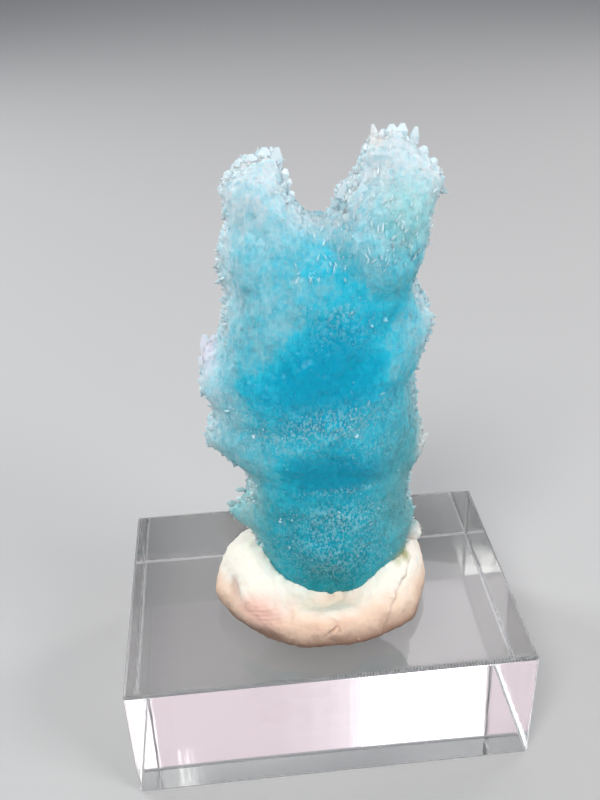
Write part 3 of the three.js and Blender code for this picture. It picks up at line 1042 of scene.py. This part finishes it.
# Folds and cracks left by kneading: depth, half width, how far the far side
# stands higher, and the line that it follows, in millimetres.
PUTTY_FOLDS = (
    (0.44, 0.17, 0.12, (
        (0.3, -9.5, 17.1), (0.75, -9.7, 16.7), (0.45, -9.9, 16.3), (0.05, -10.1, 15.9),
        (-0.35, -10.2, 15.5),
    )),
    (0.40, 0.16, 0.14, (
        (-0.15, -10.2, 15.2), (0.25, -10.2, 14.95), (0.55, -10.2, 14.8), (0.4, -10.2, 14.4),
    )),
    (0.30, 0.14, 0.0, ((0.75, -9.7, 16.7), (1.0, -9.8, 16.3), (0.85, -9.9, 15.9))),
    (0.20, 0.30, 0.10, (
        (-3.3, -7.9, 18.2), (-3.5, -8.5, 17.8), (-3.65, -8.9, 17.4), (-3.8, -9.2, 17.0),
    )),
    (0.36, 0.45, 0.0, (
        (-9.1, -3.4, 18.6), (-8.95, -4.2, 18.0), (-8.7, -4.9, 17.6), (-8.5, -5.6, 17.4),
        (-8.1, -6.3, 16.9), (-7.7, -6.8, 16.6),
    )),
    (-0.26, 0.60, 0.0, (
        (-8.2, -6.2, 17.7), (-7.3, -7.0, 17.6), (-6.4, -7.5, 17.8), (-5.4, -7.9, 17.95),
        (-4.5, -8.2, 18.0), (-3.6, -8.3, 18.0),
    )),
    (0.30, 0.26, 0.34, (
        (9.0, -3.9, 19.0), (8.6, -4.8, 18.6), (8.35, -5.45, 18.25), (7.9, -6.0, 18.0),
        (7.4, -6.6, 17.75), (6.95, -7.25, 17.25), (6.6, -7.85, 16.65), (6.1, -8.4, 16.1),
        (5.6, -8.8, 15.3), (5.2, -8.8, 14.3),
    )),
    (0.10, 0.30, 0.10, (
        (9.1, -6.3, 15.8), (8.1, -7.2, 16.0), (7.3, -7.8, 15.7), (6.7, -8.2, 15.0),
    )),
    (0.20, 0.20, 0.22, (
        (-4.0, 4.6, 19.6), (-3.4, 6.2, 18.8), (-3.6, 7.6, 17.2), (-4.2, 8.0, 15.0),
    )),
    (0.18, 0.20, -0.16, (
        (5.0, 4.2, 19.0), (5.6, 5.8, 18.0), (5.2, 7.0, 16.0), (5.6, 7.2, 14.4),
    )),
    (0.16, 0.30, 0.0, ((-9.6, 2.0, 18.4), (-8.8, 3.6, 17.6), (-7.4, 5.0, 17.0))),
)
# How finely a fold follows its line and how far it strays, how wide its step is,
# how narrow a fold must be to get painted shade along it and how wide that painted shade is, in
# millimetres.
FOLD_PACE = 0.08
FOLD_WANDER = 0.22
STEP_REACH = 1.3
SHADED_FOLD_LIMIT = 0.3
CREASE_SHADE_WIDTH = 0.13
LIP_REACH = 0.95 * MM
LIP_BITE = 0.06 * MM
# Edges shorter than this, left where the skin was pressed flat, are closed up.
SHORT_EDGE = 0.002 * MM


def fold_skin(thing, folds):
    """Presses folds and cracks into a skin, each along its own line, and keeps where they are."""
    creases = [0.0] * len(thing.data.vertices)
    surface = BVHTree.FromObject(thing, bpy.context.evaluated_depsgraph_get())
    for depth, width, step, line in folds:
        points = []
        for start, end in zip(line, line[1:]):
            start, end = Vector(start), Vector(end)
            count = max(1, round((end - start).length / FOLD_PACE))
            points += [start.lerp(end, i / count) for i in range(count)]
        points.append(Vector(line[-1]))
        points = [point + noise.noise_vector(point * 1.7) * FOLD_WANDER for point in points]
        points = [surface.find_nearest(point * MM)[0] / MM for point in points]
        tree = KDTree(len(points))
        for i, point in enumerate(points):
            tree.insert(point, i)
        tree.balance()
        middle = sum(points, Vector()) / len(points)
        reach = max((point - middle).length for point in points) + 3 * max(width, 0.5)
        normals = [vertex.normal.copy() for vertex in thing.data.vertices]
        for vertex, normal in zip(thing.data.vertices, normals):
            place = vertex.co / MM
            if (place - middle).length > reach:
                continue
            nearest, i, away = tree.find(place)
            ending = math.sin(math.pi * (i + 1) / (len(points) + 1)) ** 0.5
            ending *= 0.35 + 0.65 * between(-0.25, 0.20, noise.noise(nearest * 1.4))
            rise = -depth * math.exp(-((away / width) ** 2))
            along = points[min(i + 1, len(points) - 1)] - points[max(i - 1, 0)]
            side = (place - nearest).dot(along.cross(normal).normalized())
            if step and side > -0.06:
                rise += step * between(-0.06, 0.10, side) * math.exp(-((away / STEP_REACH) ** 2))
            vertex.co += normal * rise * ending * MM
            if width < SHADED_FOLD_LIMIT:
                crease = ending * math.exp(-((away / CREASE_SHADE_WIDTH) ** 2))
                creases[vertex.index] = max(creases[vertex.index], crease)
    store(thing, "creases", creases)


def cling(thing, ground, reach, bite):
    """Draws the skin that lies near another solid on to it, a little way in."""
    ground_tree = BVHTree.FromObject(ground, bpy.context.evaluated_depsgraph_get())
    for vertex in thing.data.vertices:
        nearest, normal, _, away = ground_tree.find_nearest(vertex.co, reach)
        if nearest and (vertex.co - nearest).dot(normal) > 0:
            pull = 1 - between(0.5, 1.0, away / reach)
            vertex.co += (nearest - normal * bite - vertex.co) * pull


putty = copy_of_node("mounting_putty", "putty_lump")
even_skin(putty, PUTTY_GRAIN, PUTTY_SOFTENING)
pull_skin(putty, PUTTY_PUSHES)
displace(putty, "kneading", "CLOUDS", 2.6 * MM, 0.35 * MM)
apply_modifiers(putty)
fold_skin(putty, PUTTY_FOLDS)
displace(putty, "lumps", "CLOUDS", 1.2 * MM, 0.20 * MM)
displace(putty, "skin", "CLOUDS", 0.45 * MM, 0.09 * MM)
apply_modifiers(putty)
cling(putty, crust, LIP_REACH, LIP_BITE)
for vertex in putty.data.vertices:
    vertex.co.z = max(vertex.co.z, BLOCK_HIGH.z)
edit_all(putty)
bpy.ops.mesh.dissolve_degenerate(threshold=SHORT_EDGE)
bpy.ops.mesh.delete_loose()
bpy.ops.object.mode_set(mode="OBJECT")
bpy.ops.object.shade_smooth()

CREAM = (0.88, 0.84, 0.75, 1)
# Painted light on the hollow of the putty's front rim.
LIT_CREAM = (0.95, 0.84, 0.68, 1)
# Painted shade for the putty's underside.
SHADE_TAN = (0.30, 0.18, 0.13, 1)
# Painted shade with warm bounce light, on the putty's lower front.
BOUNCE_PINK = (0.81, 0.51, 0.43, 1)
BOUNCE_PEACH = (0.80, 0.55, 0.42, 1)
# Pink tan of the painted shade with warm bounce light low on the putty, and of its specks.
PINK_TAN = (0.83, 0.62, 0.48, 1)
STAIN = (0.34, 0.34, 0.14, 1)
# Painted shade in narrow folds and cracks.
CREASE_SHADE = (0.42, 0.33, 0.30, 1)
SHADED = (0.60, 0.43, 0.36, 1)
# Tinted places: how they are laid, colour, middle and radii in millimetres, share. The pink and
# peach patches are painted shade with warm bounce light, the cream ones painted light on the front
# hollow and the right front, the shaded one painted shade in the left fold; the olive ones are
# stains.
PUTTY_PATCHES = (
    ("MIX", BOUNCE_PINK, (-6.4, -7.6, 17.0), (4.4, 3.4, 2.4), 0.95),
    ("MIX", BOUNCE_PEACH, (-0.4, -9.8, 16.7), (4.6, 2.0, 1.1), 0.75),
    # Painted light, lifting the painted shade on the right front.
    ("MIX", CREAM, (7.6, -6.6, 16.9), (2.6, 2.6, 1.8), 0.3),
    ("MIX", LIT_CREAM, (0.4, -7.8, 17.4), (3.4, 1.5, 0.9), 0.9),
    ("MIX", SHADED, (-8.8, -4.8, 17.8), (0.9, 2.2, 1.6), 0.7),
    ("MIX", STAIN, (8.6, -3.6, 19.4), (0.9, 1.2, 1.4), 0.8),
    ("MIX", STAIN, (7.8, -4.6, 19.6), (0.8, 1.0, 0.8), 0.5),
)
# The finger print's place, radii and turn, and how high its ridges and the chalky
# grain stand, in millimetres.
PRINT_MIDDLE, PRINT_RADII = (-6.0, -7.8, 17.2), (3.4, 2.0, 1.3)
PRINT_TURN = (0.5, 0.12, 0.0)
RIDGE_HEIGHT = 0.025
CHALK_HEIGHT = 0.05

putty_paint, tree, shader = new_material(
    "white putty",
    Roughness=0.55,
    Specular_IOR_Level=0.3,
    Subsurface_Weight=0.35,
    Subsurface_Radius=(1.0, 0.6, 0.4),
    Subsurface_Scale=0.5 * MM,
)
place = places(tree)
height = add_node(tree, "ShaderNodeSeparateXYZ", {0: place}).outputs["Z"]
# Painted shade with warm bounce light: the lower the putty, the pinker and then the darker tan, the
# line stirred by clouds.
smears = cloud(tree, place, 3.0)
painted_shade_height = calc(tree, "MULTIPLY_ADD", smears, 2.4, height)
body = blend(tree, fade(tree, painted_shade_height, 19.6, 17.8), CREAM, PINK_TAN)
body = blend(tree, fade(tree, painted_shade_height, 18.2, 15.6), body, SHADE_TAN)
# Painted shade along the narrow folds and cracks.
body = blend(tree, times(tree, kept(tree, "creases"), 0.8), body, CREASE_SHADE)
specks = fade(tree, cloud(tree, place, 0.5, 2.0), 0.62, 0.72, 0.0, 0.35)
body = blend(tree, specks, body, PINK_TAN)
body = lay_patches(tree, place, body, PUTTY_PATCHES)
tree.links.new(body, shader.inputs["Base Color"])
# Skin ridges of the finger that pressed the left front, and a fine chalky grain.
turned = add_node(tree, "ShaderNodeMapping", {"Vector": place, "Rotation": PRINT_TURN})
ridges = add_node(
    tree,
    "ShaderNodeTexWave",
    {"Vector": turned.outputs["Vector"], "Scale": 0.7, "Distortion": 1.6, "Detail": 1.0},
    bands_direction="Z",
).outputs["Fac"]
printed = patch(tree, place, PRINT_MIDDLE, PRINT_RADII, 0.5)
ridges = times(tree, times(tree, ridges, printed), RIDGE_HEIGHT)
skin = calc(tree, "MULTIPLY_ADD", cloud(tree, place, 0.25), CHALK_HEIGHT, ridges)
emboss(tree, shader, skin, MM)
putty.data.materials.append(putty_paint)
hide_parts("mounting_putty")
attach(putty, "root")
